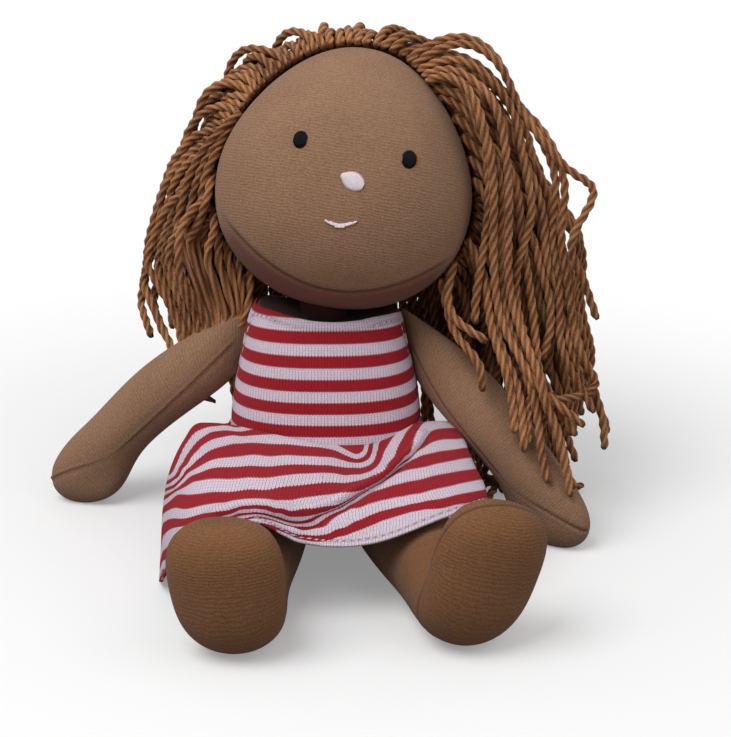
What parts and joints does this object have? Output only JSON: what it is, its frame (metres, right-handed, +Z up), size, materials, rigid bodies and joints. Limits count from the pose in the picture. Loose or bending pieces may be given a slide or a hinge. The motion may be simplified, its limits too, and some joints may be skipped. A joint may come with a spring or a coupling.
{
  "type": "rag doll",
  "caption": "Soft stuffed rag doll, seated, with an egg-shaped head, yarn hair, an embroidered face, stubby sewn-on arms and legs, and a short striped dress.",
  "frame": {"origin": "middle of the flat that the stuffed body sits on", "axes": "+Z up, the doll faces -Y, the doll's left side is at +X"},
  "size_m": [0.2091, 0.1905, 0.185],
  "materials": {
    "skin_knit": "matt brown stocking knit",
    "hair_yarn": "plied brown acrylic yarn, a little sheen",
    "dress_jersey": "matt cotton jersey with red and white stripes",
    "black_thread": "black embroidery thread",
    "pink_thread": "pale pink embroidery thread"
  },
  "bodies": {
    "torso": {"torso": "skin_knit", "bodice_front": "dress_jersey", "bodice_back": "dress_jersey", "skirt_front": "dress_jersey", "skirt_back": "dress_jersey"},
    "neck": {"neck": "skin_knit"},
    "head": {"head": "skin_knit", "left_eye": "black_thread", "right_eye": "black_thread", "nose": "pink_thread", "mouth": "pink_thread", "hair_cap": "hair_yarn", "hair_right_locks": "hair_yarn", "hair_left_locks": "hair_yarn", "hair_back_locks": "hair_yarn"},
    "left_arm": {"left_arm": "skin_knit"},
    "right_arm": {"right_arm": "skin_knit"},
    "left_leg": {"left_leg": "skin_knit"},
    "right_leg": {"right_leg": "skin_knit"}
  },
  "joints": [
    {"name": "neck_nod", "type": "hinge", "parent": "torso", "child": "neck", "pos_m": [-0.0005, 0.007, 0.08385], "axis": [1, 0, 0], "range_deg": [-6, 8], "deforming": ["hair_right_locks", "hair_left_locks", "hair_back_locks"]},
    {"name": "head_tilt", "type": "hinge", "parent": "neck", "child": "head", "pos_m": [-0.0005, 0.007, 0.08385], "axis": [0, 1, 0], "range_deg": [-12, 4], "deforming": ["hair_right_locks", "hair_left_locks", "hair_back_locks"]},
    {"name": "left_shoulder", "type": "hinge", "parent": "torso", "child": "left_arm", "pos_m": [0.03081, 0.00817, 0.06946], "axis": [-0.1045, 0, 0.9945], "range_deg": [-10, 70], "deforming": ["hair_left_locks"]},
    {"name": "right_shoulder", "type": "hinge", "parent": "torso", "child": "right_arm", "pos_m": [-0.0308, 0.00817, 0.06946], "axis": [0.1045, 0, 0.9945], "range_deg": [-40, 45], "deforming": ["hair_right_locks"]},
    {"name": "left_hip", "type": "hinge", "parent": "torso", "child": "left_leg", "pos_m": [0.01724, -0.02012, 0.00875], "axis": [0.9511, 0.309, 0], "range_deg": [-22, 80], "deforming": ["skirt_front"]},
    {"name": "right_hip", "type": "hinge", "parent": "torso", "child": "right_leg", "pos_m": [-0.01724, -0.02011, 0.00875], "axis": [0.9511, -0.309, 0], "range_deg": [-22, 80], "deforming": ["skirt_front"]}
  ]
}
